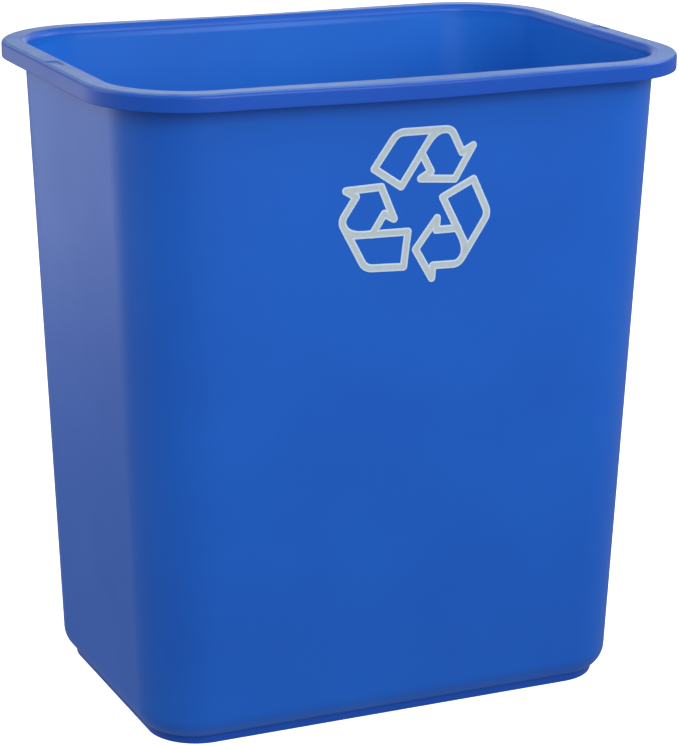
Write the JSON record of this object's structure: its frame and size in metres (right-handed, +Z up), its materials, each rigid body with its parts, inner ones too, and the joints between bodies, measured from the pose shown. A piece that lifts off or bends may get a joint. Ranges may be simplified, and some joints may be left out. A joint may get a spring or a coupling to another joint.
{
  "type": "wastebasket",
  "caption": "Tapered rectangular deskside recycling bin, open at the top, with a rolled rim, a recessed foot and a printed recycling sign.",
  "frame": {"origin": "middle of the foot, on the floor", "axes": "+Z up, X along the long side, the front wall with the sign faces -Y"},
  "size_m": [0.364, 0.26, 0.39],
  "materials": {
    "blue_polyethylene": "satin moulded polyethylene with a fine grain",
    "sign_print": "pale grey printed ink, satin"
  },
  "bodies": {
    "root": {"bin_body": "blue_polyethylene", "sign_arrow_top": "sign_print", "sign_arrow_right": "sign_print", "sign_arrow_left": "sign_print"}
  },
  "joints": []
}
